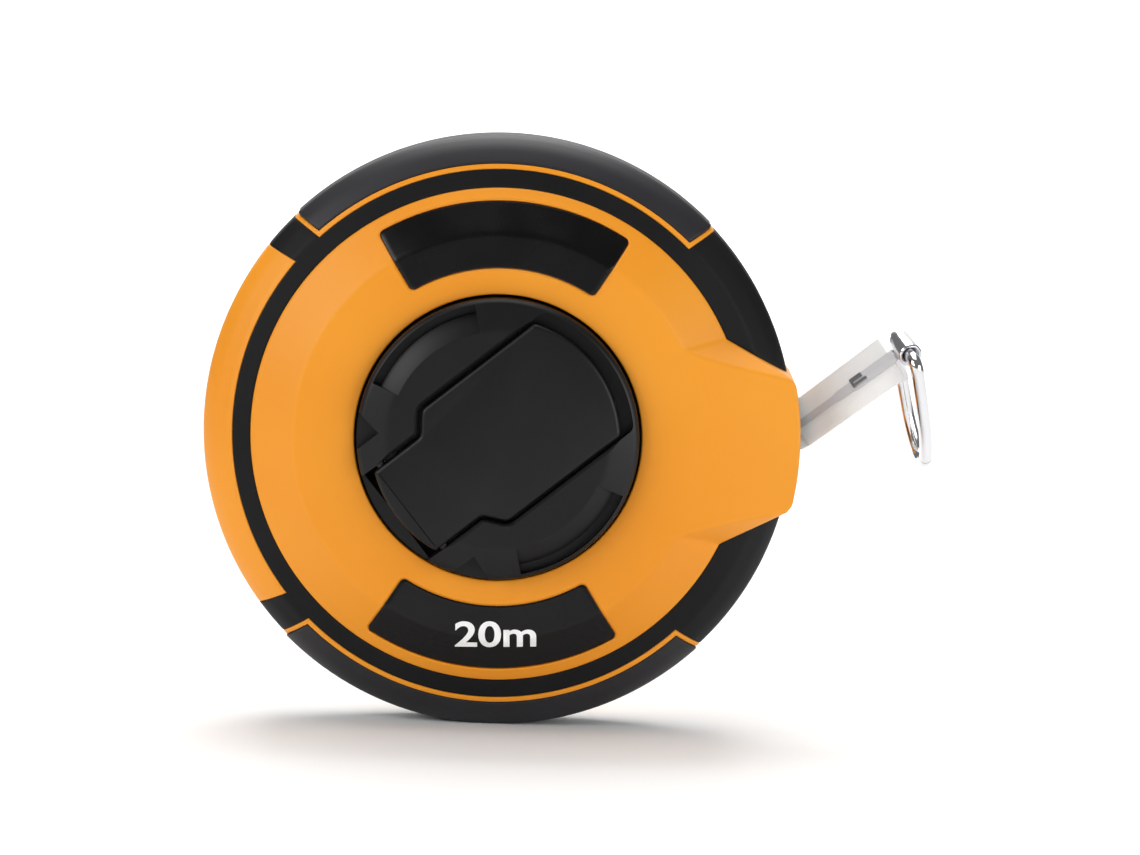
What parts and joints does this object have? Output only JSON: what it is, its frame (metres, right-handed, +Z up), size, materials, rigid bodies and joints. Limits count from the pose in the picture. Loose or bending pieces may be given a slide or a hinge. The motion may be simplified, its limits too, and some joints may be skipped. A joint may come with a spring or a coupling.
{
  "type": "tape measure",
  "caption": "Round closed-case hand-wound tape measure with a fold-out crank, rim grips, nose mouth and a hooked-on pull ring.",
  "frame": {"origin": "centre of the flat back face, on the reel's axis", "axes": "+X from the reel's axis to the mouth in the nose, +Z up as the case stands with the ring hanging, front face with the hub towards -Y"},
  "size_m": [0.1651, 0.0435, 0.1324],
  "materials": {
    "orange_abs": "satin",
    "black_tpr": "matt",
    "grip_rubber": "matt",
    "label_black": "gloss",
    "hub_nylon": "satin",
    "guide_acetal": "satin",
    "reel_abs": "satin",
    "zinc_steel": "satin",
    "black_steel": "satin",
    "fibre_washer": "matt",
    "tape_lacquer": "satin",
    "clear_pvc": "gloss",
    "strip_steel": "satin",
    "chrome": "polished"
  },
  "bodies": {
    "case": {"front_shell": "orange_abs", "rear_shell": "orange_abs", "front_bumper": "black_tpr", "rear_bumper": "black_tpr", "top_grip": "grip_rubber", "bottom_grip": "grip_rubber", "label_top": "label_black", "label_bottom": "label_black", "rear_label": "label_black", "mouth_guide": "guide_acetal", "guide_pins": "zinc_steel", "case_screws": "black_steel", "drag_washer": "fibre_washer", "spindle_washer": "zinc_steel", "spindle_screw": "zinc_steel"},
    "reel": {"reel_drum": "reel_abs", "front_flange": "reel_abs", "tape_anchor": "zinc_steel", "tape_coil": "tape_lacquer", "winding_hub": "hub_nylon", "hub_screws": "zinc_steel", "crank_hinge_pin": "zinc_steel"},
    "crank": {"crank_arm": "hub_nylon", "knob_screw": "zinc_steel"},
    "knob": {"crank_knob": "hub_nylon"},
    "tape_end": {"tape_lead": "tape_lacquer", "end_sleeve": "clear_pvc", "end_strip": "strip_steel", "strip_rivets": "zinc_steel", "ring_barrel": "chrome"},
    "ring": {"pull_ring": "chrome"}
  },
  "joints": [
    {"name": "reel_spin", "type": "hinge", "parent": "case", "child": "reel", "pos_m": [0, 0, 0], "axis": [0, -1, 0], "range_deg": [0, 57.8]},
    {"name": "tape_pull", "type": "slide", "parent": "case", "child": "tape_end", "axis": [0.7863, 0, 0.6179], "range_m": [0, 0.0402]},
    {"name": "crank_fold", "type": "hinge", "parent": "reel", "child": "crank", "pos_m": [-0.01855, -0.0412, -0.01523], "axis": [0.6347, 0, -0.7727], "range_deg": [0, 180]},
    {"name": "knob_spin", "type": "hinge", "parent": "crank", "child": "knob", "pos_m": [0.01005, -0.0343, 0.00825], "axis": [0, -1, 0], "continuous": true},
    {"name": "ring_swing", "type": "hinge", "parent": "tape_end", "child": "ring", "pos_m": [0.091, -0.019, 0.02108], "axis": [0.2513, -0.9135, -0.3198], "range_deg": [-50, 200]}
  ],
  "couplings": [
    {"joint": "tape_pull", "follows": "reel_spin", "m_per_rad": 0.03965}
  ]
}
